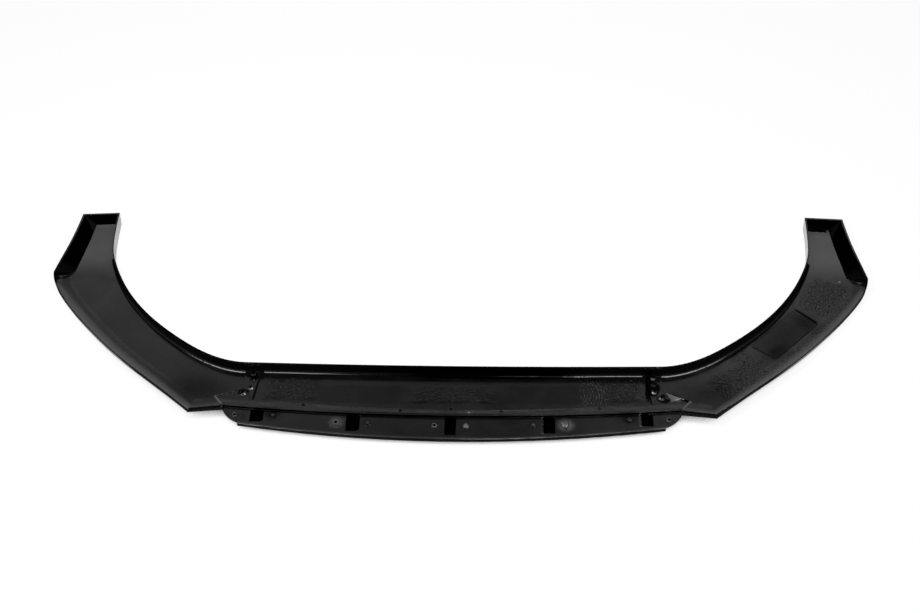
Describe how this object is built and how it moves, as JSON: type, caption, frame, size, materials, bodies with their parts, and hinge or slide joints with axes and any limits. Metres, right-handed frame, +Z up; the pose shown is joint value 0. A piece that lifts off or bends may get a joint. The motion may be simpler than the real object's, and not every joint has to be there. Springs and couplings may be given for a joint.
{
  "type": "front splitter lip",
  "caption": "Wide black plastic splitter lip in a shallow U: flat centre with a stepped chin and slots, two swept wings with rims, rolled front edges and tip pockets.",
  "frame": {"origin": "middle of the lip's plan box, on the ground that it lies on", "axes": "+X across the car, +Y from the nose back to the wing tips, +Z up, out of the hollow side"},
  "size_m": [1.6404, 0.5749, 0.041],
  "materials": {
    "moulding": "black injection moulding, fine grain on the hollow side, gloss on the finished side",
    "fin": "gloss black",
    "nut": "bright zinc plate"
  },
  "bodies": {
    "root": {"wing_left": "moulding", "wing_right": "moulding", "centre_panel": "moulding", "chin_panel": "moulding", "fin_1": "fin", "fin_2": "fin", "fin_3": "fin", "fin_4": "fin", "fin_5": "fin", "joint_nuts": "nut", "tab_nuts": "nut"}
  },
  "joints": []
}
